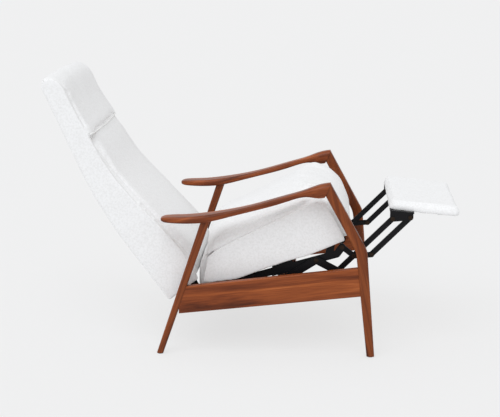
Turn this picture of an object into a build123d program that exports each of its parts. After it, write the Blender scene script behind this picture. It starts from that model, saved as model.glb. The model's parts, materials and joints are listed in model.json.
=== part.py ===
# Reclining lounge chair: two wooden side frames, an upholstered seat and back, and a steel
# linkage that brings the footrest out as the seat tips back.
# Millimetres. +X is the front, +Y the sitter's left, +Z up. The chair stands on Z = 0.
# It is modelled reclined with the footrest out. Side views are drawn in X and Z.
from build123d import *
import os
from math import atan2, cos, degrees, hypot, radians, sin

os.makedirs("parts", exist_ok=True)

# Places along X are measured from midway between the feet, then moved by this much
ORIGIN_X = 46.8
SIDES = {"left": 1, "right": -1}

# Wooden side frames
FRAME_Y = 312.5            # middle of a side frame
LEG_THICK = 34.0
REAR_LEG_THICK = 30.0
EASED_EDGE = 7.0
RAIL_THICK = 24.0
RAIL_EASE = 3.0
FOOT_LIFT = 4.0            # underside of a leg above the floor
GLIDE_R = 9.0
ARM_CORNER = (207, 570)    # outer corner of the mitre between arm and front leg
ARM_CROTCH = (190, 528)    # inner corner of the same mitre
REAR_LEG_TOP_MID = (-186, 456)
RAIL_TOP_REAR = (-262, 227)
RAIL_TOP_FRONT = (304, 296)
RAIL_DEPTH_REAR = 88.0
RAIL_DEPTH_FRONT = 94.0
RAIL_TENON = 16.0          # rail beyond its corners, cut away where it meets the legs
STRETCHER_THICK = 20.0
FRONT_STRETCHER = (60, 189)
REAR_STRETCHER = (-172, 162)
STRETCHER_WIDE = 56.0
RAIL_IN = FRAME_Y - RAIL_THICK / 2

# Upholstered widths
BODY_Y = 265.0             # outside of seat and back
SEAT_SIDE_THICK = 16.0
BACK_SIDE_THICK = 22.0
NOSE_Y = 222.0             # half width of the padded front, between the footrest links
SEAT_IN = BODY_Y - SEAT_SIDE_THICK
BACK_IN = BODY_Y - BACK_SIDE_THICK
SOFT_GAP = 0.3

# Steel linkage: plate layers, counted inward from the seat's side panel
PLATE = 4.0
LAYER_GAP = 2.0
RAIL_Y = SEAT_IN - PLATE               # seat rail, flat against the side panel
LINK_Y = RAIL_Y - LAYER_GAP - PLATE    # lower links, footrest brackets, back brackets
BAR_Y = LINK_Y - LAYER_GAP - PLATE     # long and front footrest links
LEVER_GAP = 5.0
LEVER_Y = SEAT_IN + LEVER_GAP          # drive lever, outside the seat rail
EAR_GAP = 8.5              # ears stand outside the seat's side panels
EAR_Y = LEVER_Y + PLATE + EAR_GAP      # upright ears of the base

# Pivots in the reclined pose
SEAT_PIVOT = (-170, 207)
BACK_PIVOT = (-222, 190)
LOWER_PIVOT = (246, 347)
CROSSING = (285, 317)
ELBOW = (342, 322)
BRACKET_REAR = (408, 441)
LEVER_PIVOT = (163, 305)
STUD = (62, 240)
TAIL = 70.0                # long link beyond the crossing
# Bracket, crossing and elbow make an exact parallelogram
BRACKET_FRONT = (BRACKET_REAR[0] + ELBOW[0] - CROSSING[0], BRACKET_REAR[1] + ELBOW[1] - CROSSING[1])

# Turns between the reclined and the upright pose, in degrees
SEAT_TURN = 10.0
FOLD_TURN = 66.0
SWING_TURN = -45.0

PIN_R = 4.0
BORE_GAP = 0.05
SLOT_GAP = 0.5
HEAD_R = 7.5
HEAD = 2.6
HEAD_GAP = 0.3
THIN_HEAD = 1.2            # rivet head that the folded links pass over
LINK_WIDE = 18.0
SEAT_RAIL_WIDE = 24.0
LEVER_WIDE = 25.0
STRAP_WIDE = 28.0
SCREW_R = 2.5
SCREW_HEAD_R = 5.0
SCREW_HEAD = 2.2
SCREW_DEPTH = 11.0
SCREW_TIP = 1.0            # hole deeper than its screw

# Seat side panel, front pad and cushion
SEAT_SEAM_REAR = (-161, 339)
SEAT_SEAM_SLOPE = 26.8
SEAT_LENGTH = 362.0        # cushion forward of the rear seam corner
SEAT_CROWN = 61.0
SEAT_ROLL = 30.0
# Back seam lines, from the bottom up, and the rear line from the top down
BACK_SEAM = [(-222, 236), (-278, 339), (-384, 454), (-471, 549), (-543, 656), (-569, 705)]
HEAD_SEAM = [(-569, 705), (-602, 766), (-633, 829), (-661, 876), (-687, 888), (-714, 874)]
BACK_REAR = [(-719, 860), (-685, 786), (-623, 648), (-547, 493), (-400, 277), (-316, 164)]
BACK_CROWN = 32.0
BACK_ROLL = 10.0
HEAD_CROWN = 16.0
HEAD_ROLL = 4.5
REAR_COVER = 12.0
PAD_LIFT = 0.8             # back pads off the side panels
SEAT_LIFT = 0.85           # seat cushion off the side panels
WEB_WIDE = 50.0
WEB_THICK = 2.0

# Footrest
PAD_OVERHANG = 14.0        # pad behind its rear pivot
PAD_RISE = 29.0            # underside of the pad above its rear pivot
FOOT_REAR = (BRACKET_REAR[0] - PAD_OVERHANG, BRACKET_REAR[1] + PAD_RISE)
FOOT_SLOPE = -5.5
FOOT_LENGTH = 232.0
FOOT_Y = 228.0
FOOT_THICK = 28.0
BOARD = 9.0
BOARD_INSET = 9.0
BOARD_CORNER = 12.0
FLANGE = 44.0
FLANGE_LONG = 78.0


def side_plane(y):
    """Sketch plane whose x is the chair's X and whose y is its Z, at one place along Y."""
    return Plane(origin=(ORIGIN_X, y, 0), x_dir=(1, 0, 0), z_dir=(0, -1, 0))


def outward(side, thick):
    """Extrusion length that goes away from the middle of the chair on one side."""
    return -SIDES[side] * thick


def turned(point, centre, angle):
    """Point after a turn about +Y through the centre: the front goes down."""
    a = radians(angle)
    x = point[0] - centre[0]
    z = point[1] - centre[1]
    return (centre[0] + x * cos(a) + z * sin(a), centre[1] - x * sin(a) + z * cos(a))


def bearing(start, end):
    return degrees(atan2(end[1] - start[1], end[0] - start[0]))


def span(start, end):
    return hypot(end[0] - start[0], end[1] - start[1])


def middle(start, end):
    return ((start[0] + end[0]) / 2, (start[1] + end[1]) / 2)


def along(start, end, distance):
    share = distance / span(start, end)
    return (start[0] + (end[0] - start[0]) * share, start[1] + (end[1] - start[1]) * share)


def straps(points, wide, mode=Mode.ADD):
    """Round-ended strips from each point to the next, in the sketch that is open."""
    for start, end in zip(points, points[1:]):
        with Locations(middle(start, end)):
            SlotCenterToCenter(span(start, end), wide, rotation=bearing(start, end), mode=mode)


def bores(points, radius):
    with Locations(*points):
        Circle(radius, mode=Mode.SUBTRACT)


def save(piece, name):
    piece.part.label = name
    export_step(piece.part, f"parts/{name}.step")


def flat_link(name, side, y, points, wide, holes):
    """One flat steel link with round ends and pivot bores."""
    with BuildPart() as link:
        with BuildSketch(side_plane(SIDES[side] * y)):
            straps(points, wide)
            bores(holes, PIN_R + BORE_GAP)
        extrude(amount=outward(side, PLATE))
    save(link, name)


def pins(name, centres, layers):
    """Pivot pins on both sides. Layers are (radius, inner y, outer y) of each step of a pin."""
    with BuildPart() as group:
        for side, sign in SIDES.items():
            for radius, y_in, y_out in layers:
                with BuildSketch(side_plane(sign * y_in)):
                    with Locations(*centres):
                        Circle(radius)
                extrude(amount=outward(side, y_out - y_in))
    save(group, name)


def screws(name, centres, y):
    """Screws on both sides, driven outward through a plate whose inner face is at y."""
    pins(name, centres, [(SCREW_R, y - SCREW_HEAD, y + PLATE + SCREW_DEPTH - SCREW_TIP),
                         (SCREW_HEAD_R, y - SCREW_HEAD, y)])


TAIL_PIN = along(CROSSING, BRACKET_REAR, -TAIL)


def tail_path(share):
    """Pin at the long link's tail, seen from the seat, part of the way to upright."""
    crossing = turned(CROSSING, LOWER_PIVOT, FOLD_TURN * share)
    return turned((crossing[0] + TAIL_PIN[0] - CROSSING[0], crossing[1] + TAIL_PIN[1] - CROSSING[1]),
                  crossing, SWING_TURN * share)


LEVER_TURN = bearing(LEVER_PIVOT, TAIL_PIN) - bearing(LEVER_PIVOT, tail_path(1))


def tail_slot(share):
    """The same pin as the drive lever sees it."""
    return turned(tail_path(share), LEVER_PIVOT, -LEVER_TURN * share)


def stud_slot(share):
    """The base's fixed stud as the drive lever sees it."""
    return turned(turned(STUD, SEAT_PIVOT, -SEAT_TURN * share), LEVER_PIVOT, -LEVER_TURN * share)


# Front legs: a leaning upper part, a knee and a tapered lower part, cut to the mitre at the top
LEG_OUTER = [(186, 608), (326, 352), (354, FOOT_LIFT)]
LEG_INNER = [(329, FOOT_LIFT), (290, 350), (160, 588)]
KNEE_OUT = 60.0
KNEE_IN = 90.0
mitre_dir = Vector(ARM_CORNER[0] - ARM_CROTCH[0], 0, ARM_CORNER[1] - ARM_CROTCH[1])
MITRE = Plane(origin=(ORIGIN_X + ARM_CORNER[0], 0, ARM_CORNER[1]), x_dir=(0, 1, 0),
              z_dir=mitre_dir.cross(Vector(0, 1, 0)))
front_legs = {}
for side, sign in SIDES.items():
    with BuildPart() as leg:
        with BuildSketch(side_plane(sign * (FRAME_Y - LEG_THICK / 2))) as outline:
            with BuildLine():
                Polyline(*LEG_OUTER, *LEG_INNER, close=True)
            make_face()
            knee_out = outline.vertices().sort_by_distance((LEG_OUTER[1][0], LEG_OUTER[1][1], 0))[0]
            fillet(knee_out, KNEE_OUT)
            knee_in = outline.vertices().sort_by_distance((LEG_INNER[1][0], LEG_INNER[1][1], 0))[0]
            fillet(knee_in, KNEE_IN)
        extrude(amount=outward(side, LEG_THICK))
        long_edges = leg.edges().filter_by(Axis.Y, reverse=True)
        fillet(long_edges.filter_by(lambda e: 2 * FOOT_LIFT < e.center().Z < ARM_CROTCH[1]), EASED_EDGE)
        split(bisect_by=MITRE, keep=Keep.BOTTOM)
    front_legs[side] = leg.part
    save(leg, f"{side}_front_leg")

# Rear legs: straight, tapered, tenoned up into the arm
REAR_LEG_FOOT = (-341, FOOT_LIFT)
REAR_FOOT_WIDE = 21.0
REAR_TOP_WIDE = 29.0
rear_legs = {}
for side, sign in SIDES.items():
    with BuildPart() as leg:
        with BuildSketch(side_plane(sign * (FRAME_Y - REAR_LEG_THICK / 2))):
            with BuildLine():
                Polyline((REAR_LEG_FOOT[0] - REAR_FOOT_WIDE / 2, FOOT_LIFT),
                         (REAR_LEG_FOOT[0] + REAR_FOOT_WIDE / 2, FOOT_LIFT),
                         (REAR_LEG_TOP_MID[0] + REAR_TOP_WIDE / 2, REAR_LEG_TOP_MID[1]),
                         (REAR_LEG_TOP_MID[0] - REAR_TOP_WIDE / 2, REAR_LEG_TOP_MID[1]), close=True)
            make_face()
        extrude(amount=outward(side, REAR_LEG_THICK))
        upright = leg.edges().filter_by(lambda e: abs(e.tangent_at(0.5).Z) > 0.8)
        fillet(upright, EASED_EDGE)
    rear_legs[side] = leg.part
    save(leg, f"{side}_rear_leg")

# Arms: one carved bar each, thin in the middle, a broad paddle over the rear leg and a round tip.
# Each station is X, Z of the middle, width and thickness.
ARM_STATIONS = [(-333, 448.5, 22, 7), (-326, 448.5, 40, 14), (-305, 448.5, 54, 19), (-250, 449, 62, 22),
                (-190, 454.5, 62, 24), (-122, 468, 52, 20), (-36, 489, 42, 18), (60, 517, 38, 19),
                (130, 537, 35, 23), (215, 553, LEG_THICK, 38)]
ARM_CORNER_SHARE = 0.36
for side, sign in SIDES.items():
    with BuildPart() as arm:
        for x, z, wide, thick in ARM_STATIONS:
            station = Plane(origin=(ORIGIN_X + x, sign * FRAME_Y, z), x_dir=(0, 1, 0), z_dir=(1, 0, 0))
            with BuildSketch(station):
                RectangleRounded(wide, thick, ARM_CORNER_SHARE * thick)
        loft()
        split(bisect_by=MITRE, keep=Keep.TOP)
        add(rear_legs[side], mode=Mode.SUBTRACT)
    save(arm, f"{side}_armrest")

# Side rails between the legs, cut to the legs they meet, with blind holes for the base's screws
BASE_REAR = (-186, 190)
BASE_FRONT = (96, 223)
BASE_WIDE = 34.0
BASE_SHARES = (0.127, 0.352, 0.563, 0.725, 0.983)
BASE_SCREWS = [along(BASE_REAR, BASE_FRONT, share * span(BASE_REAR, BASE_FRONT)) for share in BASE_SHARES]
RAIL_LEAN = bearing(RAIL_TOP_REAR, RAIL_TOP_FRONT)
RAIL_REAR = along(RAIL_TOP_REAR, RAIL_TOP_FRONT, -RAIL_TENON)
RAIL_FRONT = along(RAIL_TOP_FRONT, RAIL_TOP_REAR, -RAIL_TENON)
RAIL_CORNERS = [RAIL_REAR, RAIL_FRONT, (RAIL_FRONT[0], RAIL_FRONT[1] - RAIL_DEPTH_FRONT),
                (RAIL_REAR[0], RAIL_REAR[1] - RAIL_DEPTH_REAR)]
for side, sign in SIDES.items():
    with BuildPart() as rail:
        with BuildSketch(side_plane(sign * RAIL_IN)):
            with BuildLine():
                Polyline(*RAIL_CORNERS, close=True)
            make_face()
        extrude(amount=outward(side, RAIL_THICK))
        fillet(rail.edges().filter_by(lambda e: abs(e.tangent_at(0.5).X) > 0.9), RAIL_EASE)
        add(front_legs[side], mode=Mode.SUBTRACT)
        add(rear_legs[side], mode=Mode.SUBTRACT)
        with BuildSketch(side_plane(sign * RAIL_IN)):
            with Locations(*BASE_SCREWS):
                Circle(SCREW_R + BORE_GAP)
        extrude(amount=outward(side, SCREW_DEPTH), mode=Mode.SUBTRACT)
    piece = rail.part.solids().sort_by(SortBy.VOLUME)[-1]
    piece.label = f"{side}_side_rail"
    export_step(piece, f"parts/{side}_side_rail.step")

# Flat stretchers between the rails
for name, place in (("front_stretcher", FRONT_STRETCHER), ("rear_stretcher", REAR_STRETCHER)):
    with BuildPart() as stretcher:
        with BuildSketch(side_plane(RAIL_IN)):
            with Locations(place):
                RectangleRounded(STRETCHER_WIDE, STRETCHER_THICK, RAIL_EASE, rotation=RAIL_LEAN)
        extrude(amount=2 * RAIL_IN)
    save(stretcher, name)

# Glides under the four feet
FEET = [(middle(LEG_OUTER[-1], LEG_INNER[0])[0], FRAME_Y), (REAR_LEG_FOOT[0], FRAME_Y)]
with BuildPart() as glides:
    with BuildSketch():
        with Locations(*[(ORIGIN_X + x, sign * y) for x, y in FEET for sign in SIDES.values()]):
            Circle(GLIDE_R)
    extrude(amount=FOOT_LIFT)
save(glides, "foot_glides")

# Mechanism base on each rail: a strip, two shelves and two upright ears
SHELF_DROP = 22.0
EAR_WIDE = 34.0
for side, sign in SIDES.items():
    with BuildPart() as base:
        with BuildSketch(side_plane(sign * (RAIL_IN - PLATE))):
            straps([BASE_REAR, BASE_FRONT], BASE_WIDE)
            bores(BASE_SCREWS, SCREW_R + BORE_GAP)
        extrude(amount=outward(side, PLATE))
        for pivot in (SEAT_PIVOT, STUD):
            shelf = (pivot[0], pivot[1] - SHELF_DROP)
            with BuildSketch(side_plane(sign * EAR_Y)):
                with Locations(shelf):
                    Rectangle(EAR_WIDE, PLATE)
            extrude(amount=outward(side, RAIL_IN - PLATE - EAR_Y))
            with BuildSketch(side_plane(sign * EAR_Y)):
                straps([shelf, pivot], EAR_WIDE)
                with Locations((shelf[0], shelf[1] - PLATE / 2 - EAR_WIDE / 2)):
                    Rectangle(EAR_WIDE, EAR_WIDE, mode=Mode.SUBTRACT)
                bores([pivot], PIN_R + BORE_GAP)
            extrude(amount=outward(side, PLATE))
    save(base, f"{side}_mechanism_base")

screws("base_screws", BASE_SCREWS, RAIL_IN - PLATE)

# Seat rails: a bar under the seat with three tabs up the inside of the side panel
RAIL_NOSE = (230, 324)
REAR_TAB = [(-118, 222), (-112, 268)]
MID_TAB = [(20, 247), (87, 264), (87, 345), (20, 330)]
FRONT_TAB = [(205, 318), (213, 376)]
TAB_WIDE = 26.0
TAB_SCREWS = [(-112, 268), (36, 318), (72, 328), (213, 376)]
for side, sign in SIDES.items():
    with BuildPart() as seat_rail:
        with BuildSketch(side_plane(sign * RAIL_Y)):
            straps([BACK_PIVOT, SEAT_PIVOT, RAIL_NOSE, LOWER_PIVOT], SEAT_RAIL_WIDE)
            straps(REAR_TAB, TAB_WIDE)
            straps(FRONT_TAB, TAB_WIDE)
            with BuildLine():
                Polyline(*MID_TAB, close=True)
            make_face()
            bores([BACK_PIVOT, SEAT_PIVOT, LEVER_PIVOT, LOWER_PIVOT], PIN_R + BORE_GAP)
            bores(TAB_SCREWS, SCREW_R + BORE_GAP)
        extrude(amount=outward(side, PLATE))
    save(seat_rail, f"{side}_seat_rail")

# Tube that ties the two seat rails together
TUBE_AT = (-60, 239)
TUBE_R = 11.0
TUBE_WALL = 1.6
with BuildPart() as tube:
    with BuildSketch(side_plane(RAIL_Y)):
        with Locations(TUBE_AT):
            Circle(TUBE_R)
            Circle(TUBE_R - TUBE_WALL, mode=Mode.SUBTRACT)
    extrude(amount=2 * RAIL_Y)
save(tube, "seat_cross_tube")

# Seat side panels: the wedge between the lower edge and the top seam
# Corners of the lower edge, and the radius of those that are rounded
SEAT_LOWER = [(-207, 222), (-96, 238), (18, 282), (60, 298), (135, 320), (257, 372), (199, 484)]
SEAT_HEEL_R = 14.0
SEAT_TOE_R = 6.0
SEAT_NOSE_R = 16.0
SEAT_ROUNDED = [(SEAT_LOWER[0], SEAT_HEEL_R), (SEAT_LOWER[-2], SEAT_TOE_R), (SEAT_LOWER[-1], SEAT_NOSE_R)]
SEAT_REAR_CORNER = (-190, 309)


def seam_point(distance, height):
    """Place in the side view at a distance along the seat's seam and a height off it."""
    a = radians(SEAT_SEAM_SLOPE)
    return (SEAT_SEAM_REAR[0] + distance * cos(a) - height * sin(a),
            SEAT_SEAM_REAR[1] + distance * sin(a) + height * cos(a))


SEAT_TOP = [seam_point(SEAT_LENGTH, 0), seam_point(40, 0), seam_point(0, -2.2), SEAT_REAR_CORNER]
SEAT_SIDE = [*SEAT_LOWER, *SEAT_TOP]
for side, sign in SIDES.items():
    with BuildPart() as panel:
        with BuildSketch(side_plane(sign * SEAT_IN)) as outline:
            with BuildLine():
                Polyline(*SEAT_SIDE, close=True)
            make_face()
            for at, radius in SEAT_ROUNDED:
                fillet(outline.vertices().sort_by_distance((at[0], at[1], 0))[0], radius)
        extrude(amount=outward(side, SEAT_SIDE_THICK))
        with BuildSketch(side_plane(sign * SEAT_IN)):
            with Locations(*TAB_SCREWS):
                Circle(SCREW_R + BORE_GAP)
        extrude(amount=outward(side, SCREW_DEPTH), mode=Mode.SUBTRACT)
    save(panel, f"{side}_seat_side")

screws("seat_screws", TAB_SCREWS, RAIL_Y)

# Cross rails of the seat box
SEAT_CROSS = {"seat_front_rail": (152, 176, 408, 470), "seat_rear_rail": (-162, -140, 256, 318)}
for name, (x0, x1, z0, z1) in SEAT_CROSS.items():
    with BuildPart() as cross:
        with BuildSketch(side_plane(SEAT_IN)):
            with Locations(((x0 + x1) / 2, (z0 + z1) / 2)):
                Rectangle(x1 - x0, z1 - z0)
        extrude(amount=2 * SEAT_IN)
    save(cross, name)

# Padded front of the seat, narrower than the seat so that the folded links pass beside it
NOSE_INNER = SEAT_CROSS["seat_front_rail"][1]
NOSE_GAP = 2.0
NOSE_HEIGHT = 55.0
NOSE_FOOT = seam_point(SEAT_LENGTH + NOSE_GAP, 0)
NOSE_TOP = seam_point(SEAT_LENGTH + NOSE_GAP, NOSE_HEIGHT)
NOSE_BACK = [(NOSE_INNER, NOSE_FOOT[1] - 7), (NOSE_INNER, 398), (222, 366), (268, 376)]
NOSE_ROLL = [(277, 392), (267, 440), (248, 486), (228, 516), (203, 542)]
NOSE_MIDDLE = (222, 450)
# Half widths, and how far the outline is drawn in at each
NOSE_ENDS = [(NOSE_Y, 0.1), (NOSE_Y - 3, 0.04), (NOSE_Y - 9, 0)]
NOSE_SECTIONS = [*NOSE_ENDS, *[(-y, share) for y, share in NOSE_ENDS[::-1]]]


def drawn_in(point, share):
    return (point[0] + (NOSE_MIDDLE[0] - point[0]) * share, point[1] + (NOSE_MIDDLE[1] - point[1]) * share)


with BuildPart() as nose:
    for y, share in NOSE_SECTIONS:
        with BuildSketch(side_plane(y)):
            with BuildLine():
                Polyline(*[drawn_in(point, share) for point in (NOSE_TOP, NOSE_FOOT, *NOSE_BACK)])
                Spline(*[drawn_in(point, share) for point in (NOSE_BACK[-1], *NOSE_ROLL, NOSE_TOP)])
            make_face()
    loft(ruled=True)
save(nose, "seat_front_pad")


def seam_plane(distance):
    """Section across the seat cushion, at a distance along the seam line."""
    a = radians(SEAT_SEAM_SLOPE)
    x, z = seam_point(distance, 0)
    return Plane(origin=(ORIGIN_X + x, 0, z), x_dir=(0, 1, 0), z_dir=(cos(a), 0, sin(a)))


def padded(name, sections):
    """Soft pad through sections of plane, half width, underside, roll, crown and waist:
    a flat underside, drawn-in sides and a crowned face."""
    with BuildPart() as pad:
        for plane, half, low, roll, crown, waist in sections:
            with BuildSketch(plane):
                with BuildLine():
                    Line((-half + waist, low), (half - waist, low))
                    Line((half - waist, low), (half, low + roll))
                    ThreePointArc((half, low + roll), (0, low + crown), (-half, low + roll))
                    Line((-half, low + roll), (-half + waist, low))
                make_face()
        loft()
    save(pad, name)


# Seat cushion: rises from the rear, full in the middle, and rolls over at the front
SEAT_MIDDLE = (BODY_Y, SEAT_LIFT, SEAT_ROLL, SEAT_CROWN, 5)
SEAT_SECTIONS = [(-46, BODY_Y - 15, -20, 8, 20, 3),
                 (-26, BODY_Y - 4, -1.5, 20, 40, 4),
                 (20, BODY_Y, SEAT_LIFT, SEAT_ROLL + 3, SEAT_CROWN, 5),
                 *[(share * SEAT_LENGTH, *SEAT_MIDDLE) for share in (0.276, 0.608, 0.856)],
                 (0.95 * SEAT_LENGTH, BODY_Y - 7, SEAT_LIFT, SEAT_ROLL, SEAT_CROWN, 5),
                 (SEAT_LENGTH, BODY_Y - 27, SEAT_LIFT, SEAT_ROLL - 2, SEAT_CROWN - 4, 5)]
padded("seat_cushion", [(seam_plane(x), *sizes) for x, *sizes in SEAT_SECTIONS])

# Webbing straps under the seat cushion
SEAT_STRAPS = (0.11, 0.29, 0.47, 0.65, 0.815)      # shares of the cushion's length
with BuildPart() as seat_webbing:
    for share in SEAT_STRAPS:
        with BuildSketch(seam_plane(share * SEAT_LENGTH)):
            with Locations((0, -WEB_THICK)):
                Rectangle(2 * SEAT_IN, WEB_THICK)
        extrude(amount=WEB_WIDE)
save(seat_webbing, "seat_webbing")

# Back side panels, from the seam line over the top to the rear line
BRACKET_RUN = [BACK_PIVOT, (-256, 250), (-348, 372)]
BRACKET_LONG = span(BRACKET_RUN[2], BRACKET_RUN[1])
BRACKET_SCREWS = [along(BRACKET_RUN[2], BRACKET_RUN[1], share * BRACKET_LONG) for share in (0.03, 0.38, 0.73)]
with BuildLine(side_plane(0)):
    back_line = Spline(*BACK_SEAM)
with BuildLine(side_plane(0)):
    head_line = Spline(*HEAD_SEAM)
for side, sign in SIDES.items():
    with BuildPart() as panel:
        with BuildSketch(side_plane(sign * BACK_IN)):
            with BuildLine():
                Spline(*BACK_SEAM)
                Spline(*HEAD_SEAM)
                Line(HEAD_SEAM[-1], BACK_REAR[0])
                Spline(*BACK_REAR)
                Line(BACK_REAR[-1], BACK_SEAM[0])
            make_face()
        extrude(amount=outward(side, BACK_SIDE_THICK))
        with BuildSketch(side_plane(sign * BACK_IN)):
            with Locations(*BRACKET_SCREWS):
                Circle(SCREW_R + BORE_GAP)
        extrude(amount=outward(side, SCREW_DEPTH), mode=Mode.SUBTRACT)
    save(panel, f"{side}_back_side")


def crosswise(line, share):
    """Plane across the back at a share of the way along a seam; its y points rearward."""
    tangent = line.tangent_at(share)
    return Plane(origin=line.position_at(share), x_dir=(0, 1, 0), z_dir=tangent)


def back_pad(name, line, sections):
    padded(name, [(crosswise(line, share), half, -PAD_LIFT, -roll, -crown, waist)
                  for share, half, roll, crown, waist in sections])


# Back cushion and the head pillow that wraps over the top
BACK_SECTIONS = [(0.02, BODY_Y - 7, 9, 12, 2),
                 (0.08, BODY_Y - 1, BACK_ROLL + 7, 24, 3),
                 (0.17, BODY_Y, BACK_ROLL + 5, BACK_CROWN - 3, 3),
                 (0.3, BODY_Y, BACK_ROLL, BACK_CROWN, 3),
                 (0.6, BODY_Y, BACK_ROLL, BACK_CROWN, 3),
                 (0.9, BODY_Y, BACK_ROLL, 24, 3),
                 (0.995, BODY_Y - 2, 6, 14, 2)]
back_pad("back_cushion", back_line, BACK_SECTIONS)

HEAD_OVER = (0.57, 0.68, 0.77, 0.86, 0.94)
HEAD_SECTIONS = [(0.006, BODY_Y - 2, 3, 11, 1),
                 (0.05, BODY_Y, HEAD_ROLL, HEAD_CROWN, 1.5),
                 (0.2, BODY_Y - 1, HEAD_ROLL, HEAD_CROWN, 1.5),
                 (0.4, BODY_Y - 3, HEAD_ROLL - 2, HEAD_CROWN - 6, 1),
                 *[(share, BODY_Y - 6, HEAD_ROLL - 2.5, HEAD_CROWN - 8, 1) for share in HEAD_OVER],
                 (1.0, BODY_Y - 8, 1.5, 7, 1)]
back_pad("head_pillow", head_line, HEAD_SECTIONS)

# Rear cover of the back between the side panels
REAR_INNER = [(x + REAR_COVER, z + REAR_COVER * 0.4) for x, z in BACK_REAR]
with BuildPart() as rear_cover:
    with BuildSketch(side_plane(BACK_IN)):
        with BuildLine():
            Spline(*BACK_REAR)
            Line(BACK_REAR[-1], REAR_INNER[-1])
            Spline(*REAR_INNER[::-1])
            Line(REAR_INNER[0], BACK_REAR[0])
        make_face()
    extrude(amount=2 * BACK_IN)
save(rear_cover, "back_rear_cover")

# Wooden cross rails inside the back
BACK_CROSS = {"back_top_rail": ((-664, 820), 24), "back_lower_rail": ((-312, 232), 40)}
CROSS_DEPTH = 52.0
CROSS_THICK = 22.0
for name, (place, lean) in BACK_CROSS.items():
    with BuildPart() as cross:
        with BuildSketch(side_plane(BACK_IN)):
            with Locations(place):
                Rectangle(CROSS_THICK, CROSS_DEPTH, rotation=lean)
        extrude(amount=2 * BACK_IN)
    save(cross, name)

# Webbing straps behind the back cushion
BACK_STRAP_DEPTH = 4.0
BACK_STRAPS = (0.2, 0.36, 0.52, 0.68, 0.84)
with BuildPart() as back_webbing:
    for share in BACK_STRAPS:
        with BuildSketch(crosswise(back_line, share)):
            with Locations((0, BACK_STRAP_DEPTH)):
                Rectangle(2 * BACK_IN, WEB_THICK)
        extrude(amount=WEB_WIDE / 2, both=True)
save(back_webbing, "back_webbing")

# Back brackets: straps from the hinge up the inside of the side panels
for side, sign in SIDES.items():
    with BuildPart() as bracket:
        with BuildSketch(side_plane(sign * LINK_Y)):
            straps(BRACKET_RUN, STRAP_WIDE)
            bores([BACK_PIVOT], PIN_R + BORE_GAP)
            bores(BRACKET_SCREWS, SCREW_R + BORE_GAP)
        extrude(amount=outward(side, PLATE))
    save(bracket, f"{side}_back_bracket")

screws("bracket_screws", BRACKET_SCREWS, LINK_Y)

# Footrest links on each side
for side in SIDES:
    flat_link(f"{side}_lower_link", side, LINK_Y, [LOWER_PIVOT, CROSSING, ELBOW], LINK_WIDE,
              [LOWER_PIVOT, CROSSING, ELBOW])
    flat_link(f"{side}_long_link", side, BAR_Y, [TAIL_PIN, BRACKET_REAR], LINK_WIDE,
              [TAIL_PIN, CROSSING, BRACKET_REAR])
    flat_link(f"{side}_front_link", side, BAR_Y, [ELBOW, BRACKET_FRONT], LINK_WIDE, [ELBOW, BRACKET_FRONT])

# Drive levers: pivoted on the seat rail, worked by the base's stud, and turning the long link's tail.
# Both slots follow the path that their pin takes over the whole travel, with a wall round them.
SLOT_STEPS = 10
SLOT_WIDE = 2 * (PIN_R + SLOT_GAP)
SLOT_WALL = 6.0
TRACKS = [[path(step / SLOT_STEPS) for step in range(SLOT_STEPS + 1)] for path in (tail_slot, stud_slot)]
for side, sign in SIDES.items():
    with BuildPart() as lever:
        with BuildSketch(side_plane(sign * LEVER_Y)):
            straps([stud_slot(0), LEVER_PIVOT, tail_slot(0)], LEVER_WIDE)
            for track in TRACKS:
                straps(track, SLOT_WIDE + 2 * SLOT_WALL)
            bores([LEVER_PIVOT], PIN_R + BORE_GAP)
            for track in TRACKS:
                straps(track, SLOT_WIDE, mode=Mode.SUBTRACT)
        extrude(amount=outward(side, PLATE))
    save(lever, f"{side}_drive_lever")

# Footrest brackets: an upright plate on the two pivots with a flange under the board
slope = radians(FOOT_SLOPE)
pad_plane = Plane(origin=(ORIGIN_X + FOOT_REAR[0], 0, FOOT_REAR[1]), x_dir=(cos(slope), 0, sin(slope)),
                  z_dir=(-sin(slope), 0, cos(slope)))
EAR_BACK = BRACKET_REAR[0] - LINK_WIDE / 2
EAR_FORE = BRACKET_FRONT[0] + LINK_WIDE / 2
EAR_TOP = FOOT_REAR[1] + 5                     # cut back to the underside of the board
FLANGE_AHEAD = 30.0                            # middle of the flange from the rear pivot
FLANGE_EDGE = 8.0                              # screws from the flange's inner edge
FOOT_SCREW_SPAN = 48.0
FLANGE_MID = (FLANGE_AHEAD + PAD_OVERHANG, LINK_Y + PLATE - FLANGE / 2)
FOOT_SCREW_Y = LINK_Y + PLATE - FLANGE + FLANGE_EDGE
FOOT_SCREWS = [(FLANGE_MID[0] + d, sign * FOOT_SCREW_Y) for d in (-FOOT_SCREW_SPAN / 2, FOOT_SCREW_SPAN / 2)
               for sign in SIDES.values()]
FOOT_SCREW_DEPTH = 7.0
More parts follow.
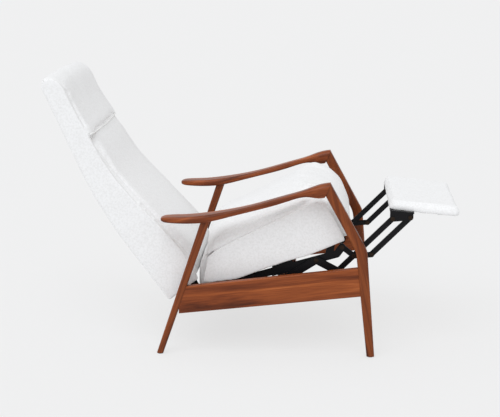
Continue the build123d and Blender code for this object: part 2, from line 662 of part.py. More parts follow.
for side, sign in SIDES.items():
    with BuildPart() as bracket:
        with BuildSketch(side_plane(sign * LINK_Y)):
            straps([BRACKET_REAR, BRACKET_FRONT], LINK_WIDE)
            with BuildLine():
                Polyline((EAR_BACK, BRACKET_REAR[1]), (EAR_FORE, BRACKET_FRONT[1]),
                         (EAR_FORE, EAR_TOP), (EAR_BACK, EAR_TOP), close=True)
            make_face()
            bores([BRACKET_REAR, BRACKET_FRONT], PIN_R + BORE_GAP)
        extrude(amount=outward(side, PLATE))
        with BuildSketch(pad_plane):
            with Locations((FLANGE_MID[0], sign * FLANGE_MID[1])):
                Rectangle(FLANGE_LONG, FLANGE)
        extrude(amount=-PLATE)
        with BuildSketch(pad_plane):
            with Locations((FOOT_LENGTH / 2, 0)):
                Rectangle(2 * FOOT_LENGTH, 3 * FOOT_Y)
        extrude(amount=FOOT_THICK, mode=Mode.SUBTRACT)
        with BuildSketch(pad_plane):
            bore_at = [place for place in FOOT_SCREWS if place[1] * sign > 0]
            with Locations(*bore_at):
                Circle(SCREW_R + BORE_GAP)
        extrude(amount=-PLATE, mode=Mode.SUBTRACT)
        with BuildSketch(pad_plane.offset(-PLATE)):
            with Locations(*bore_at):
                Circle(SCREW_HEAD_R + BORE_GAP)
        extrude(amount=SCREW_HEAD, mode=Mode.SUBTRACT)
    save(bracket, f"{side}_footrest_bracket")

with BuildPart() as foot_screws:
    with BuildSketch(pad_plane.offset(-PLATE)):
        with Locations(*FOOT_SCREWS):
            Circle(SCREW_HEAD_R)
    extrude(amount=SCREW_HEAD)
    with BuildSketch(pad_plane.offset(SCREW_HEAD - PLATE)):
        with Locations(*FOOT_SCREWS):
            Circle(SCREW_R)
    extrude(amount=PLATE - SCREW_HEAD + FOOT_SCREW_DEPTH - SCREW_TIP)
save(foot_screws, "footrest_screws")

with BuildPart() as board:
    with BuildSketch(pad_plane):
        with Locations((FOOT_LENGTH / 2, 0)):
            RectangleRounded(FOOT_LENGTH - 2 * BOARD_INSET, 2 * (FOOT_Y - BOARD_INSET), BOARD_CORNER)
    extrude(amount=BOARD)
    with BuildSketch(pad_plane):
        with Locations(*FOOT_SCREWS):
            Circle(SCREW_R + BORE_GAP)
    extrude(amount=FOOT_SCREW_DEPTH, mode=Mode.SUBTRACT)
save(board, "footrest_board")

# Footrest pad: rounded band, crowned top, hollow below for the board
# Each section is a height, how far it is drawn in, and its corner radius
PAD_SECTIONS = [(0, 5, 20), (6, 0, 24), (FOOT_THICK - 9, 0, 24), (FOOT_THICK - 3, 4, 25),
                (FOOT_THICK, 12, 27), (FOOT_THICK, 36, 34)]
with BuildPart() as pad:
    for height, inset, corner in PAD_SECTIONS:
        with BuildSketch(pad_plane.offset(height)):
            with Locations((FOOT_LENGTH / 2, 0)):
                RectangleRounded(FOOT_LENGTH - 2 * inset, 2 * (FOOT_Y - inset), corner)
    loft(ruled=True)
    with BuildSketch(pad_plane):
        with Locations((FOOT_LENGTH / 2, 0)):
            RectangleRounded(FOOT_LENGTH - 2 * BOARD_INSET + 2 * SOFT_GAP,
                             2 * (FOOT_Y - BOARD_INSET + SOFT_GAP), BOARD_CORNER)
    extrude(amount=BOARD + SOFT_GAP, mode=Mode.SUBTRACT)
save(pad, "footrest_pad")

# Pivot pins, each held by one of the two pieces that it joins
BAR_IN = BAR_Y - HEAD_GAP
pins("seat_pivot_pins", [SEAT_PIVOT], [(PIN_R, RAIL_Y - HEAD_GAP - HEAD, EAR_Y + PLATE + HEAD),
                                       (HEAD_R, RAIL_Y - HEAD_GAP - HEAD, RAIL_Y - HEAD_GAP),
                                       (HEAD_R, SEAT_IN + HEAD_GAP, EAR_Y),
                                       (HEAD_R, EAR_Y + PLATE, EAR_Y + PLATE + HEAD)])
pins("lever_studs", [STUD], [(PIN_R, LEVER_Y - HEAD_GAP - HEAD, EAR_Y + PLATE + HEAD),
                             (HEAD_R, LEVER_Y - HEAD_GAP - HEAD, LEVER_Y - HEAD_GAP),
                             (HEAD_R, LEVER_Y + PLATE + HEAD_GAP, EAR_Y),
                             (HEAD_R, EAR_Y + PLATE, EAR_Y + PLATE + HEAD)])
pins("back_hinge_pins", [BACK_PIVOT], [(PIN_R, LINK_Y - HEAD_GAP - HEAD, SEAT_IN + HEAD),
                                       (HEAD_R, LINK_Y - HEAD_GAP - HEAD, LINK_Y - HEAD_GAP),
                                       (HEAD_R, LINK_Y + PLATE + HEAD_GAP, RAIL_Y),
                                       (HEAD_R, SEAT_IN, SEAT_IN + HEAD)])
pins("lower_link_pins", [LOWER_PIVOT], [(PIN_R, LINK_Y - HEAD_GAP - THIN_HEAD, SEAT_IN + HEAD),
                                        (HEAD_R, LINK_Y - HEAD_GAP - THIN_HEAD, LINK_Y - HEAD_GAP),
                                        (HEAD_R, LINK_Y + PLATE + HEAD_GAP, RAIL_Y),
                                        (HEAD_R, SEAT_IN, SEAT_IN + HEAD)])
pins("lever_pins", [LEVER_PIVOT], [(PIN_R, RAIL_Y - HEAD, LEVER_Y + PLATE + HEAD_GAP + HEAD),
                                   (HEAD_R, RAIL_Y - HEAD, RAIL_Y),
                                   (HEAD_R, SEAT_IN, LEVER_Y - HEAD_GAP),
                                   (HEAD_R, LEVER_Y + PLATE + HEAD_GAP, LEVER_Y + PLATE + HEAD_GAP + HEAD)])
pins("link_pins", [CROSSING, ELBOW], [(PIN_R, BAR_IN - HEAD, LINK_Y + PLATE + HEAD_GAP),
                                      (HEAD_R, BAR_IN - HEAD, BAR_IN),
                                      (HEAD_R, BAR_Y + PLATE + HEAD_GAP, LINK_Y),
                                      (HEAD_R, LINK_Y + PLATE, LINK_Y + PLATE + HEAD_GAP)])
pins("footrest_pins", [BRACKET_REAR, BRACKET_FRONT], [(PIN_R, BAR_IN - HEAD, LINK_Y + PLATE + HEAD),
                                                      (HEAD_R, BAR_IN - HEAD, BAR_IN),
                                                      (HEAD_R, BAR_Y + PLATE + HEAD_GAP, LINK_Y),
                                                      (HEAD_R, LINK_Y + PLATE, LINK_Y + PLATE + HEAD)])
pins("tail_pins", [TAIL_PIN], [(PIN_R, BAR_Y - HEAD, LEVER_Y + PLATE + HEAD_GAP + HEAD),
                               (HEAD_R, BAR_Y - HEAD, BAR_Y),
                               (HEAD_R, BAR_Y + PLATE, LEVER_Y - HEAD_GAP),
                               (HEAD_R, LEVER_Y + PLATE + HEAD_GAP, LEVER_Y + PLATE + HEAD_GAP + HEAD)])
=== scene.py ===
import json
from math import atan2, cos, radians, sin

import bmesh
import bpy
import numpy as np
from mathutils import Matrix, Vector


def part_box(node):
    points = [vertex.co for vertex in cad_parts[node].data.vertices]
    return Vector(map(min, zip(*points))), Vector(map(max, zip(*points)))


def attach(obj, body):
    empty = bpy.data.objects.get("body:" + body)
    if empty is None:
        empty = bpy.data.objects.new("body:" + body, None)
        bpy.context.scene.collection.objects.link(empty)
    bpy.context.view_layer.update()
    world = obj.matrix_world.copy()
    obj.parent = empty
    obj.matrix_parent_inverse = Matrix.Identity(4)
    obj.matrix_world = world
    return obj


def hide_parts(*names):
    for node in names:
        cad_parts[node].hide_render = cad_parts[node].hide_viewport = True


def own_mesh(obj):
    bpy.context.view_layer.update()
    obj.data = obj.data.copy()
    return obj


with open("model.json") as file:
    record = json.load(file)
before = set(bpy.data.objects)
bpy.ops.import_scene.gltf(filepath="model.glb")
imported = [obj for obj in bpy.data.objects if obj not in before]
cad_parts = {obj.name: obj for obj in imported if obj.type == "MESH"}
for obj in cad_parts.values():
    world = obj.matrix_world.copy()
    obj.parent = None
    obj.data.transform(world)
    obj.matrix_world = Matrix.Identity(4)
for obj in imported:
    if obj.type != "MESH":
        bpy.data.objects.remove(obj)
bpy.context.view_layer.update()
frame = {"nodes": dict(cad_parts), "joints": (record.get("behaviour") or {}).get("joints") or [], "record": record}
scene = bpy.context.scene
NODES = frame["nodes"]
PIVOTS = {joint["name"]: np.array(joint["pos_m"]) for joint in frame["joints"]}
HALF_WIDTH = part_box("seat_cushion")[1].y


# Places and directions in the side view
def beside(joint, x, z):
    """A place that far in front of and above a joint's pivot."""
    return PIVOTS[joint] + np.array([x, 0, z])


def side_way(angle):
    """The direction at an angle in degrees, from +X towards +Z."""
    return np.array([cos(radians(angle)), 0, sin(radians(angle))])


def square_to(way):
    """A direction turned by a right angle, from +X towards +Z."""
    return np.array([-way[2], 0, way[0]])


# Meshes
def new_piece(name, points, faces):
    """A mesh object from points and faces."""
    mesh = bpy.data.meshes.new(name)
    mesh.from_pydata([tuple(map(float, p)) for p in points], [], faces)
    mesh.update()
    piece = bpy.data.objects.new(name, mesh)
    scene.collection.objects.link(piece)
    return piece


def copied(name, nodes, extra=()):
    """One new piece from copies of CAD nodes, with extra (points, faces) shells joined in."""
    points, faces = [], []
    shells = [([v.co for v in NODES[n].data.vertices], [list(p.vertices) for p in NODES[n].data.polygons])
              for n in nodes]
    for shell_points, shell_faces in [*shells, *extra]:
        start = len(points)
        points += list(shell_points)
        faces += [[start + i for i in face] for face in shell_faces]
    return new_piece(name, points, faces)


def slab(outline, low, high):
    """Closed shell of an outline in the side view, between two places across the seat."""
    count = len(outline)
    shell = [PIVOTS["seat_tilt"] + np.array([x, y, z]) for y in (low, high) for x, z in outline]
    sides = [[i, (i + 1) % count, count + (i + 1) % count, count + i] for i in range(count)]
    return shell, [list(range(count))[::-1], [count + i for i in range(count)], *sides]


def sloping_box(start, along, lengths, half, heights):
    """Closed shell of a box that lies along a slope, between two lengths and two heights from its start."""
    corners = [start + length * along + height * square_to(along) + np.array([0, y, 0])
               for length in lengths for y in (-half, half) for height in heights]
    return corners, [[0, 1, 3, 2], [4, 6, 7, 5], [0, 4, 5, 1], [2, 3, 7, 6], [0, 2, 6, 4], [1, 5, 7, 3]]


def places(piece):
    """The piece's vertices as an array."""
    found = np.zeros(len(piece.data.vertices) * 3)
    piece.data.vertices.foreach_get("co", found)
    return found.reshape(-1, 3)


def move_to(piece, points):
    piece.data.vertices.foreach_set("co", np.asarray(points, np.float32).ravel())
    piece.data.update()


def facing(piece):
    """The piece's vertex normals as an array."""
    found = np.zeros(len(piece.data.vertices) * 3, np.float32)
    piece.data.vertex_normals.foreach_get("vector", found)
    return found.reshape(-1, 3).astype(float)


def ramp(values, low, high):
    """0 on low's side, 1 on high's side, smooth between."""
    share = np.clip((values - low) / (high - low), 0, 1)
    return share * share * (3 - 2 * share)


def uneven(points, size, seed):
    """Smooth unevenness of about -1 to 1, in lumps of about that size, from a few crossing waves."""
    chance = np.random.default_rng(seed)
    total = np.zeros(len(points))
    for _ in range(7):
        way = chance.normal(size=3)
        way *= 2 * np.pi / size / np.linalg.norm(way) * chance.uniform(0.6, 1.4)
        total += np.sin(points @ way + chance.uniform(0, 2 * np.pi))
    return total / 4


def rumpled(points, normal, share, height, size, seed):
    """Points moved along their normals by smooth unevenness, to height times each one's share."""
    return points + normal * (height * uneven(points, size, seed) * share)[:, None]


# Changes to a piece
TINY = 1e-9
SAME_POINT = 1e-5
ROOT_BLEND = 0.004


def settled(piece):
    """Takes the result of the piece's modifiers as its mesh."""
    scene_graph = bpy.context.evaluated_depsgraph_get()
    made = bpy.data.meshes.new_from_object(piece.evaluated_get(scene_graph))
    piece.modifiers.clear()
    piece.data = made


def eased(piece, rounds):
    """Evens out small lumps."""
    ease = piece.modifiers.new("ease", "SMOOTH")
    ease.factor = 0.5
    ease.iterations = rounds
    settled(piece)


def remeshed(piece, voxel, rounds):
    """One even, eased skin round all shells of the piece."""
    remesh = piece.modifiers.new("even", "REMESH")
    remesh.mode = "VOXEL"
    remesh.voxel_size = voxel
    eased(piece, rounds)


def finer(piece):
    """Splits each face in four, smoothly."""
    finer_mesh = piece.modifiers.new("finer", "SUBSURF")
    finer_mesh.levels = 1
    finer_mesh.render_levels = 1
    settled(piece)


def rooted(piece, outward, depth, inner):
    """Sinks the underside of a cushion into the panels that it sits on, outside a half width."""
    points = places(piece)
    outer = ramp(np.abs(points[:, 1]), inner - ROOT_BLEND, inner + ROOT_BLEND)
    under = ramp(-(facing(piece) @ outward), 0.2, 0.7) * outer
    move_to(piece, points - outward * (depth * under)[:, None])


def thickened(piece, inside, depth):
    """Deepens a thin pad on the side that faces a point inside the back, where the panels hide it."""
    joined = bmesh.new()
    joined.from_mesh(piece.data)
    bmesh.ops.remove_doubles(joined, verts=joined.verts, dist=SAME_POINT)
    joined.to_mesh(piece.data)
    joined.free()
    piece.data.update()
    points, way = places(piece), facing(piece)
    way[:, 1] = 0
    way /= np.maximum(np.linalg.norm(way, axis=1), TINY)[:, None]
    inward = inside - points
    inward[:, 1] = 0
    inward /= np.linalg.norm(inward, axis=1)[:, None]
    move_to(piece, points + way * (depth * ramp((way * inward).sum(1), 0.0, 0.3))[:, None])


def stretched(piece, end, way, start, length):
    """Lengthens the end of a piece along a direction, all of it at the end and none before start."""
    points = places(piece)
    move_to(piece, points + np.outer(length * ramp((points - end) @ way, start, 0), way))


FILL_FRAMES = 16


def filled(piece, soft, thin, cap):
    """Fills a cover with a cloth simulation. Soft is each vertex's freedom from 0 to 1. The cover starts
    thinner by thin and may then swell by up to cap."""
    start = places(piece) - facing(piece) * (soft * thin)[:, None]
    move_to(piece, start)
    cloth = piece.modifiers.new("fill", "CLOTH")
    cloth.settings.use_pressure = True
    cloth.settings.uniform_pressure_force = 4.0
    cloth.settings.effector_weights.gravity = 0
    cloth.settings.quality = 3
    cloth.settings.mass = 0.3
    cloth.settings.tension_stiffness = 20
    cloth.settings.compression_stiffness = 20
    cloth.settings.bending_stiffness = 0.6
    cloth.collision_settings.use_collision = False
    cloth.point_cache.frame_start = 1
    cloth.point_cache.frame_end = FILL_FRAMES
    for step in range(1, FILL_FRAMES + 1):
        scene.frame_set(step)
    settled(piece)
    scene.frame_set(1)
    swell = places(piece) - start
    length = np.linalg.norm(swell, axis=1)
    swell *= (np.minimum(1, cap / np.maximum(length, TINY)) * soft)[:, None]
    move_to(piece, start + swell)
    eased(piece, rounds=3)


# Materials
def nodes_of(tree):
    """Functions that add nodes to a tree and link them."""
    def add(kind, links=None, **values):
        node = tree.nodes.new("ShaderNode" + kind)
        for key, value in values.items():
            setattr(node, key, value)
        for socket, source in (links or {}).items():
            if hasattr(source, "is_output"):
                tree.links.new(source, node.inputs[socket])
            else:
                node.inputs[socket].default_value = source
        return node

    return add, tree.links.new


def shader(name):
    """A new material, its main shader node, and functions that add and link nodes."""
    material = bpy.data.materials.new(name)
    material.use_nodes = True
    add, link = nodes_of(material.node_tree)
    return material, material.node_tree.nodes["Principled BSDF"], add, link


def colour_steps(add, factor, steps):
    """A colour ramp with (place, colour) steps."""
    node = add("ValToRGB", {"Fac": factor})
    band = node.color_ramp.elements
    for index, (place, colour) in enumerate(steps):
        step = band[index] if index < 2 else band.new(place)
        step.position = place
        step.color = (*colour, 1)
    return node.outputs["Color"]


def walnut(name, turn, tone):
    """Oiled walnut with the grain along a direction, given as a turn that brings it onto X."""
    material, main, add, link = shader(name)
    where = add("TexCoord").outputs["Object"]
    grain = add("Mapping", {"Vector": where, "Rotation": turn}).outputs["Vector"]
    long_grain = add("Mapping", {"Vector": grain, "Scale": (1.6, 22, 22)}).outputs["Vector"]
    fibres = add("Mapping", {"Vector": grain, "Scale": (9, 330, 330)}).outputs["Vector"]
    bands = add("TexNoise", {"Vector": long_grain, "Scale": 1.6, "Detail": 5.0, "Roughness": 0.55,
                             "Distortion": 0.7}).outputs["Fac"]
    fine = add("TexNoise", {"Vector": fibres, "Scale": 1.0, "Detail": 3.0, "Roughness": 0.6}).outputs["Fac"]
    shades = [(0.30, (0.080, 0.017, 0.005)), (0.62, (0.335, 0.084, 0.020)),
              (0.44, (0.205, 0.046, 0.011)), (0.75, (0.440, 0.130, 0.036))]
    # tone scales the wood's colours; below 1 it darkens them as painted shade
    wood = colour_steps(add, bands, [(place, tuple(tone * c for c in shade)) for place, shade in shades])
    streaks = colour_steps(add, fine, [(0.36, (0.62, 0.58, 0.55)), (0.56, (1.0, 1.0, 1.0))])
    # The Mix node's sockets by number: 0 is the share of streaks, 6 and 7 the colours, 2 the result
    toned = add("Mix", {0: 0.75, 6: wood, 7: streaks}, data_type="RGBA", blend_type="MULTIPLY")
    link(toned.outputs[2], main.inputs["Base Color"])
    bump = add("Bump", {"Height": fine, "Strength": 0.12, "Distance": 0.0004})
    link(bump.outputs["Normal"], main.inputs["Normal"])
    main.inputs["Roughness"].default_value = 0.38
    main.inputs["Specular IOR Level"].default_value = 0.22
    return material


def woven(name, light, dark, nub, depth):
    """Nubby woven cloth: nub is the size of one loop."""
    material, main, add, link = shader(name)
    where = add("TexCoord").outputs["Object"]
    loops = add("TexVoronoi", {"Vector": where, "Scale": 1 / nub, "Randomness": 1.0}, feature="SMOOTH_F1")
    lumps = add("TexNoise", {"Vector": where, "Scale": 0.45 / nub, "Detail": 4.0,
                             "Roughness": 0.65}).outputs["Fac"]
    tone = colour_steps(add, lumps, [(0.34, dark), (0.58, light)])
    link(tone, main.inputs["Base Color"])
    mound = add("Math", {0: loops.outputs["Distance"], 1: -0.8}, operation="MULTIPLY").outputs["Value"]
    height = add("Math", {0: mound, 1: lumps}, operation="ADD").outputs["Value"]
    bump = add("Bump", {"Height": height, "Strength": 0.5, "Distance": depth})
    link(bump.outputs["Normal"], main.inputs["Normal"])
    main.inputs["Roughness"].default_value = 0.95
    main.inputs["Specular IOR Level"].default_value = 0.15
    main.inputs["Sheen Weight"].default_value = 0.15
    return material


SHEEN_SPREAD = 0.06


def plain(name, colour, roughness, metallic=0.0, mottle=0.0, shine=0.5):
    """Paint, steel, plastic or plain wood with a slight unevenness in its sheen."""
    material, main, add, link = shader(name)
    where = add("TexCoord").outputs["Object"]
    noise = add("TexNoise", {"Vector": where, "Scale": 140.0, "Detail": 3.0}).outputs["Fac"]
    tone = colour_steps(add, noise, [(0.3, tuple(c * (1 - mottle) for c in colour)), (0.7, colour)])
    link(tone, main.inputs["Base Color"])
    sheen = add("MapRange", {"Value": noise, "From Min": 0.3, "From Max": 0.7,
                             "To Min": roughness - SHEEN_SPREAD,
                             "To Max": roughness + SHEEN_SPREAD}).outputs["Result"]
    link(sheen, main.inputs["Roughness"])
    main.inputs["Metallic"].default_value = metallic
    main.inputs["Specular IOR Level"].default_value = shine
    return material


LIGHT_CLOTH = (0.86, 0.857, 0.850)
DARK_CLOTH = (0.79, 0.785, 0.773)
cloth_finish = woven("nubby_cloth", LIGHT_CLOTH, DARK_CLOTH, nub=0.0030, depth=0.0006)
piping_finish = woven("piping_cloth", (0.90, 0.895, 0.88), (0.80, 0.795, 0.77), nub=0.002, depth=0.0004)
strap_finish = woven("webbing", (0.10, 0.095, 0.09), (0.05, 0.048, 0.045), nub=0.003, depth=0.0006)
black_steel = plain("black_steel", (0.005, 0.005, 0.006), roughness=0.42, shine=0.16)
pin_steel = plain("pin_steel", (0.045, 0.032, 0.024), roughness=0.48, metallic=1.0, mottle=0.4)
glide_plastic = plain("glide_plastic", (0.03, 0.026, 0.022), roughness=0.6)
inner_wood = plain("inner_wood", (0.55, 0.38, 0.22), roughness=0.7, mottle=0.2)


# Finishes of the CAD pieces
def lean(start, end):
    """Turn about Y that brings a direction in the side view onto X."""
    return (0, atan2(end[1] - start[1], end[0] - start[0]), 0)


def ends_of(node):
    """Lowest and highest ends of a node in the side view, each the mean of a twentieth of its points."""
    points = np.array([v.co for v in NODES[node].data.vertices])
    points = points[np.argsort(points[:, 2])]
    few = max(4, len(points) // 20)
    return points[:few].mean(0)[[0, 2]], points[-few:].mean(0)[[0, 2]]


WOOD = {"front_leg": lean(*ends_of("left_front_leg")),
        "rear_leg": lean(*ends_of("left_rear_leg")),
        "armrest": (0, radians(13), 0),
        "side_rail": (0, radians(7), 0),
        "stretcher": (0, 0, radians(90))}
# Painted shade: the front legs, rear legs and stretcher get darkened copies of the walnut, standing in for the
# shade they sit in below the seat; each number scales the wood's colour
WOOD_SHADE_DARKENING = {"front_leg": 0.74, "rear_leg": 0.8, "stretcher": 0.8}
wood_finish = {kind: walnut("walnut_" + kind, turn, WOOD_SHADE_DARKENING.get(kind, 1.0)) for kind, turn in WOOD.items()}
SLOT_FINISH = {"black_steel": black_steel, "pin_steel": pin_steel, "glide_plastic": glide_plastic,
               "inner_wood": inner_wood, "webbing": strap_finish, "upholstery": cloth_finish}
slots = {row["node"]: row["material_slot"] for row in frame["record"]["subparts"]}
for node, piece in NODES.items():
    kind = next((k for k in WOOD if node.endswith(k)), None)
    finish = wood_finish[kind] if kind else SLOT_FINISH[slots[node]]
    piece.data.materials.clear()
    piece.data.materials.append(finish)


def dressed(piece, body, nodes, finish=cloth_finish):
    """Finish, body and CAD nodes of a soft piece."""
    piece.data.materials.clear()
    piece.data.materials.append(finish)
    piece.data.shade_smooth()
    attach(piece, body)
    if nodes:
        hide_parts(*nodes)


# Seat: the cushion and its padded front are one cover, so a bridge joins the two solids
SEAT_LONG = side_way(26.8)
SEAT_UP = square_to(SEAT_LONG)
SEAM_REAR = beside("seat_tilt", 0.009, 0.132)
SEAT_LENGTH = 0.362
SEAT_INNER = HALF_WIDTH - 0.016
NOSE_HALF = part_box("seat_front_pad")[1].y
NOSE_STARTS = 0.348
NOSE_ENDS = 0.398
NOSE_FREEDOM = 0.25
BRIDGE_LONG = (SEAT_LENGTH - 0.014, SEAT_LENGTH + 0.012)
BRIDGE_HIGH = (0.004, 0.050)
bridge = sloping_box(SEAM_REAR, SEAT_LONG, BRIDGE_LONG, NOSE_HALF - 0.012, BRIDGE_HIGH)
# The cover reaches over the panels' front corners, and closes the openings beside the padded front
CORNER = [(0.262, 0.262), (0.300, 0.292), (0.330, 0.309), (0.354, 0.306),
          (0.372, 0.292), (0.374, 0.262), (0.330, 0.240)]
CORNER_INNER = NOSE_HALF - 0.010
CORNER_OUTER = HALF_WIDTH - 0.004
fillers = [slab(CORNER, CORNER_INNER, CORNER_OUTER), slab(CORNER, -CORNER_OUTER, -CORNER_INNER)]
seat = copied("seat_cover", ["seat_cushion", "seat_front_pad"], [bridge, *fillers])
remeshed(seat, voxel=0.0075, rounds=7)
rooted(seat, SEAT_UP, depth=0.014, inner=SEAT_INNER + 0.002)
at, normal = places(seat), facing(seat)
upward = ramp(normal @ SEAT_UP, -0.15, 0.5)
nose = ramp(at[:, 0] - PIVOTS["seat_tilt"][0], NOSE_STARTS, NOSE_ENDS)
forward = ramp(normal[:, 0], 0.3, 0.8) * nose
filled(seat, np.maximum(upward, NOSE_FREEDOM * forward), thin=0.014, cap=0.017)
finer(seat)
# The crease under the rolled edge of the seat, highest at the rear
CREASE_DEPTH = 0.008
CREASE_WIDTH = 0.007
CREASE_FRONT = 0.004
CREASE_RISE = 0.020
at, normal = places(seat), facing(seat)
distance, height = (at - SEAM_REAR) @ SEAT_LONG, (at - SEAM_REAR) @ SEAT_UP
crease = CREASE_RISE * (1 - np.clip(distance / SEAT_LENGTH, 0, 1)) + CREASE_FRONT
outer = ramp(np.abs(at[:, 1]), HALF_WIDTH - 0.03, HALF_WIDTH - 0.008)
depth = CREASE_DEPTH * np.exp(-((height - crease) / CREASE_WIDTH) ** 2) * outer
at[:, 1] -= np.sign(at[:, 1]) * depth * ramp(distance, -0.02, 0.02)
move_to(seat, rumpled(at, normal, ramp(normal @ SEAT_UP, 0, 0.5), height=0.0011, size=0.11, seed=3))
dressed(seat, "seat", ["seat_cushion", "seat_front_pad"])

# Cover pulled down over the seat's rear rail
REAR_DRAPE = [(0.005, 0.135), (-0.024, 0.117), (-0.042, 0.092), (-0.049, 0.060), (-0.050, 0.004),
              (-0.040, -0.020), (-0.024, -0.022), (-0.014, 0.010), (-0.012, 0.060), (0.005, 0.100)]
DRAPE_HALF = SEAT_INNER - 0.012
drape = copied("seat_rear_drape", [], [slab(REAR_DRAPE, -DRAPE_HALF, DRAPE_HALF)])
remeshed(drape, voxel=0.006, rounds=6)
finer(drape)
dressed(drape, "seat", [])
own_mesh(drape)

# Side panels and rear cover: tight covers with soft edges. The rear one runs up to the pillow,
# which hangs over the panels' tops
REAR_TOP = beside("back_tilt", -0.444, 0.672)
REAR_RISE = side_way(105)


def panel(name, node, body, voxel, rounds, seed, rise=0.0):
    """Cover of one panel, lengthened by rise at the top of the back."""
    piece = copied(name, [node])
    if rise:
        stretched(piece, REAR_TOP, REAR_RISE, start=-0.03, length=rise)
    remeshed(piece, voxel, rounds)
    move_to(piece, rumpled(places(piece), facing(piece), 1, height=0.0006, size=0.09, seed=seed))
    finer(piece)
    dressed(piece, body, [node])


for side, seed in (("left", 11), ("right", 12)):
    panel(f"{side}_seat_panel", f"{side}_seat_side", "seat", voxel=0.004, rounds=5, seed=seed)
    panel(f"{side}_back_panel", f"{side}_back_side", "back", voxel=0.004, rounds=6, seed=seed + 4)
panel("back_rear_panel", "back_rear_cover", "back", voxel=0.005, rounds=3, seed=21, rise=0.016)

# Back cushion, which meets the head pillow a little above shoulder height
BACK_FRONT = side_way(35)
BACK_RISE = side_way(118)
MEETING = beside("back_tilt", -0.347, 0.515)
BACK_INSIDE = beside("back_tilt", -0.36, 0.26)
PAD_DEPTH = 0.018
PRESSED = 0.0045
back = copied("back_cover", ["back_cushion"])
thickened(back, BACK_INSIDE, PAD_DEPTH)
stretched(back, MEETING, BACK_RISE, start=-0.02, length=0.055)
remeshed(back, voxel=0.007, rounds=9)
filled(back, ramp(facing(back) @ BACK_FRONT, -0.1, 0.45), thin=0.012, cap=0.015)
finer(back)
normal = facing(back)
frontal = ramp(normal @ BACK_FRONT, 0.1, 0.6)
at = rumpled(places(back), normal, frontal, height=0.0012, size=0.16, seed=5)
# The pillow presses it in where they meet
at -= np.outer(PRESSED * ramp((at - MEETING) @ BACK_RISE, -0.10, 0.005) * frontal, BACK_FRONT)
move_to(back, at)
dressed(back, "back", ["back_cushion"])

# Head pillow
HEAD_OUT = side_way(60)
HEAD_BACK = side_way(140)
HEAD_TOP = beside("back_tilt", -0.418, 0.693)
HEAD_INSIDE = beside("back_tilt", -0.43, 0.60)
LIP = 0.004
head = copied("head_cover", ["head_pillow"])
thickened(head, HEAD_INSIDE, PAD_DEPTH)
stretched(head, MEETING, -BACK_RISE, start=-0.02, length=0.012)
stretched(head, HEAD_TOP, HEAD_BACK, start=-0.05, length=0.007)
remeshed(head, voxel=0.006, rounds=9)
filled(head, ramp(facing(head) @ HEAD_OUT, -0.1, 0.4), thin=0.006, cap=0.008)
finer(head)
normal = facing(head)
at = rumpled(places(head), normal, ramp(normal @ HEAD_OUT, 0.1, 0.6), height=0.001, size=0.13, seed=6)
# Its lower edge stands out over the back cushion
lip = ramp((at - MEETING) @ BACK_RISE, 0.06, 0.0) * ramp(normal @ BACK_FRONT, 0.1, 0.6)
at += np.outer(LIP * lip, BACK_FRONT)
move_to(head, at)
dressed(head, "back", ["head_pillow"])

# Piping along the pillow's lower edge, which sags a little in the middle
CORD_SIDES = 10
CORD_ACROSS = (0.3, 0.1, 1.0)
PIPING_RADIUS = 0.0025
PIPING_PROUD = 0.0008
PIPING_POINTS = 61
PIPING_INSET = 0.005
PIPING_ROUNDS = 6
EDGE_LEVEL = 0.002
EDGE_SAG = 0.005
NEARBY = 0.006


def tube(name, path, radius):
    """Round cord along a path of points, which nowhere runs in the direction CORD_ACROSS."""
    run = np.gradient(path, axis=0)
    run /= np.linalg.norm(run, axis=1)[:, None]
    first = np.cross(run, CORD_ACROSS)
    first /= np.linalg.norm(first, axis=1)[:, None]
    second = np.cross(run, first)
    turn = np.linspace(0, 2 * np.pi, CORD_SIDES, endpoint=False)
    rings = path[:, None] + radius * (np.cos(turn)[None, :, None] * first[:, None]
                                      + np.sin(turn)[None, :, None] * second[:, None])

    def corner(ring, side):
        return ring * CORD_SIDES + side % CORD_SIDES

    last, sides = len(path) - 1, range(CORD_SIDES)
    faces = [[corner(i, j), corner(i, j + 1), corner(i + 1, j + 1), corner(i + 1, j)]
             for i in range(last) for j in sides]
    faces += [[corner(0, j) for j in reversed(sides)], [corner(last, j) for j in sides]]
    return new_piece(name, rings.reshape(-1, 3), faces)


at = np.concatenate([places(head), places(back)])
rise, reach = (at - MEETING) @ BACK_RISE, at @ BACK_FRONT
edge = []
for y in np.linspace(-HALF_WIDTH + PIPING_INSET, HALF_WIDTH - PIPING_INSET, PIPING_POINTS):
    level = EDGE_LEVEL - EDGE_SAG * (1 - (y / HALF_WIDTH) ** 2)
    near = np.flatnonzero((np.abs(at[:, 1] - y) < NEARBY) & (np.abs(rise - level) < NEARBY))
    front = at[near[np.argmax(reach[near])]]
    lift = (level - (front - MEETING) @ BACK_RISE) * BACK_RISE
    edge.append(front + lift + np.array([0, y - front[1], 0]))
edge = np.array(edge)
for _ in range(PIPING_ROUNDS):
    edge[1:-1] = (edge[:-2] + 2 * edge[1:-1] + edge[2:]) / 4
piping = tube("head_piping", edge + PIPING_PROUD * BACK_FRONT, PIPING_RADIUS)
dressed(piping, "back", [], finish=piping_finish)

# Footrest pad: the cover is filled out over the board, and its rim comes down past the board's edge
FOOT_REAR = beside("footrest_fold", -0.014, 0.029)
FOOT_LONG = side_way(-5.5)
FOOT_UP = square_to(FOOT_LONG)
FOOT_LENGTH = 0.232
FOOT_HALF = 0.228
BOARD_INSET = 0.009
BOARD_OVERLAP = 0.002
BOARD_HIGH = (0.003, 0.013)
RIM_DROP = 0.004
board_edge = BOARD_INSET - BOARD_OVERLAP
board_long = (board_edge, FOOT_LENGTH - board_edge)
board = sloping_box(FOOT_REAR, FOOT_LONG, board_long, FOOT_HALF - board_edge, BOARD_HIGH)
foot = copied("footrest_cover", ["footrest_pad"], [board])
remeshed(foot, voxel=0.005, rounds=5)
at = places(foot)
along, height = (at - FOOT_REAR) @ FOOT_LONG, (at - FOOT_REAR) @ FOOT_UP
past_ends = np.abs(along - FOOT_LENGTH / 2) - FOOT_LENGTH / 2
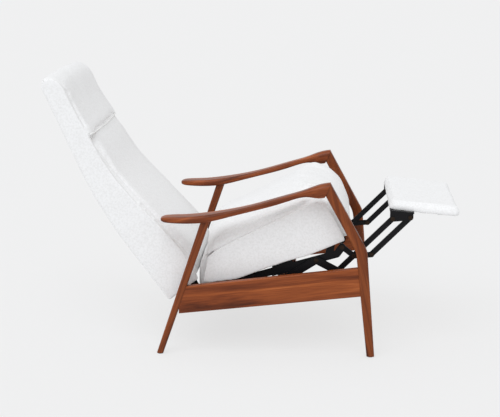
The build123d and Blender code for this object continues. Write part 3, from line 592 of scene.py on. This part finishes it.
beyond = np.maximum(np.abs(at[:, 1]) - FOOT_HALF, past_ends) + BOARD_INSET
drop = RIM_DROP * ramp(beyond, -0.003, 0.001) * ramp(height, 0.012, 0.003)
move_to(foot, at - np.outer(drop, FOOT_UP))
filled(foot, ramp(facing(foot)[:, 2], -0.3, 0.5), thin=0.004, cap=0.006)
finer(foot)
normal = facing(foot)
move_to(foot, rumpled(places(foot), normal, ramp(normal[:, 2], 0, 0.6), height=0.0008, size=0.1, seed=9))
dressed(foot, "footrest", ["footrest_pad"])

# Floor
GREY_WHITE = (0.8796, 0.8796, 0.8796, 1)
FLOOR_GREY = (0.79, 0.79, 0.79, 1)
FLOOR_REACH = 60
FLOOR_EVEN = 0.78
floor_corners = [(x * FLOOR_REACH, y * FLOOR_REACH, 0) for x, y in ((-1, -1), (1, -1), (1, 1), (-1, 1))]
floor = new_piece("floor", floor_corners, [[0, 1, 2, 3]])
floor_finish, floor_main, add, link = shader("floor")
floor_main.inputs["Base Color"].default_value = FLOOR_GREY
floor_main.inputs["Roughness"].default_value = 1.0
floor_main.inputs["Specular IOR Level"].default_value = 0.0
# The camera sees a floor that is mostly even grey-white, with a faint shadow
seen = add("LightPath").outputs["Is Camera Ray"]
even = add("Emission", {"Color": GREY_WHITE, "Strength": 1.0}).outputs["Emission"]
share = add("Math", {0: seen, 1: FLOOR_EVEN}, operation="MULTIPLY").outputs["Value"]
mixed = add("MixShader", {"Fac": share, 1: floor_main.outputs["BSDF"], 2: even}).outputs["Shader"]
link(mixed, floor_finish.node_tree.nodes["Material Output"].inputs["Surface"])
floor.data.materials.append(floor_finish)

# Light from all round
world = bpy.data.worlds.new("studio")
scene.world = world
world.use_nodes = True
sky = world.node_tree.nodes["Background"]
sky.inputs["Color"].default_value = (0.985, 0.99, 1.0, 1)
sky.inputs["Strength"].default_value = 0.73
# The camera and mirror-like surfaces see the floor's grey-white above the horizon
add, link = nodes_of(world.node_tree)
rays = add("LightPath").outputs
looking = add("Math", {0: rays["Is Camera Ray"], 1: rays["Is Glossy Ray"]}, operation="MAXIMUM")
backdrop = add("Background", {"Color": GREY_WHITE, "Strength": 1.0}).outputs["Background"]
mixed = add("MixShader", {"Fac": looking.outputs["Value"], 1: sky.outputs["Background"], 2: backdrop})
link(mixed.outputs["Shader"], world.node_tree.nodes["World Output"].inputs["Surface"])

# Soft light from above the near side
KEY_FROM = Vector((-0.24, -0.88, 1.15))
key = bpy.data.lights.new("key", "SUN")
key.energy = 1.42
key.color = (0.95, 0.98, 1.03)
key.angle = radians(50)
key_lamp = bpy.data.objects.new("key", key)
key_lamp.rotation_mode = "QUATERNION"
key_lamp.rotation_quaternion = KEY_FROM.to_track_quat("Z", "Y")
scene.collection.objects.link(key_lamp)

# Camera at the photograph's place, with its slopes in degrees
CAMERA_AHEAD = 0.3594
CAMERA_ASIDE = -4.5118
CAMERA_HIGH = 1.3805
CAMERA_DOWN = 12.019
CAMERA_TURN = 3.239
camera = bpy.data.objects.new("camera", bpy.data.cameras.new("camera"))
camera.location = (PIVOTS["seat_tilt"][0] + CAMERA_AHEAD, CAMERA_ASIDE, CAMERA_HIGH)
camera.rotation_euler = (radians(90 - CAMERA_DOWN), 0, radians(CAMERA_TURN))
camera.data.lens = 97.39
camera.data.sensor_width = 36
camera.data.dof.use_dof = False
scene.collection.objects.link(camera)
scene.camera = camera
scene.view_settings.view_transform = "Standard"
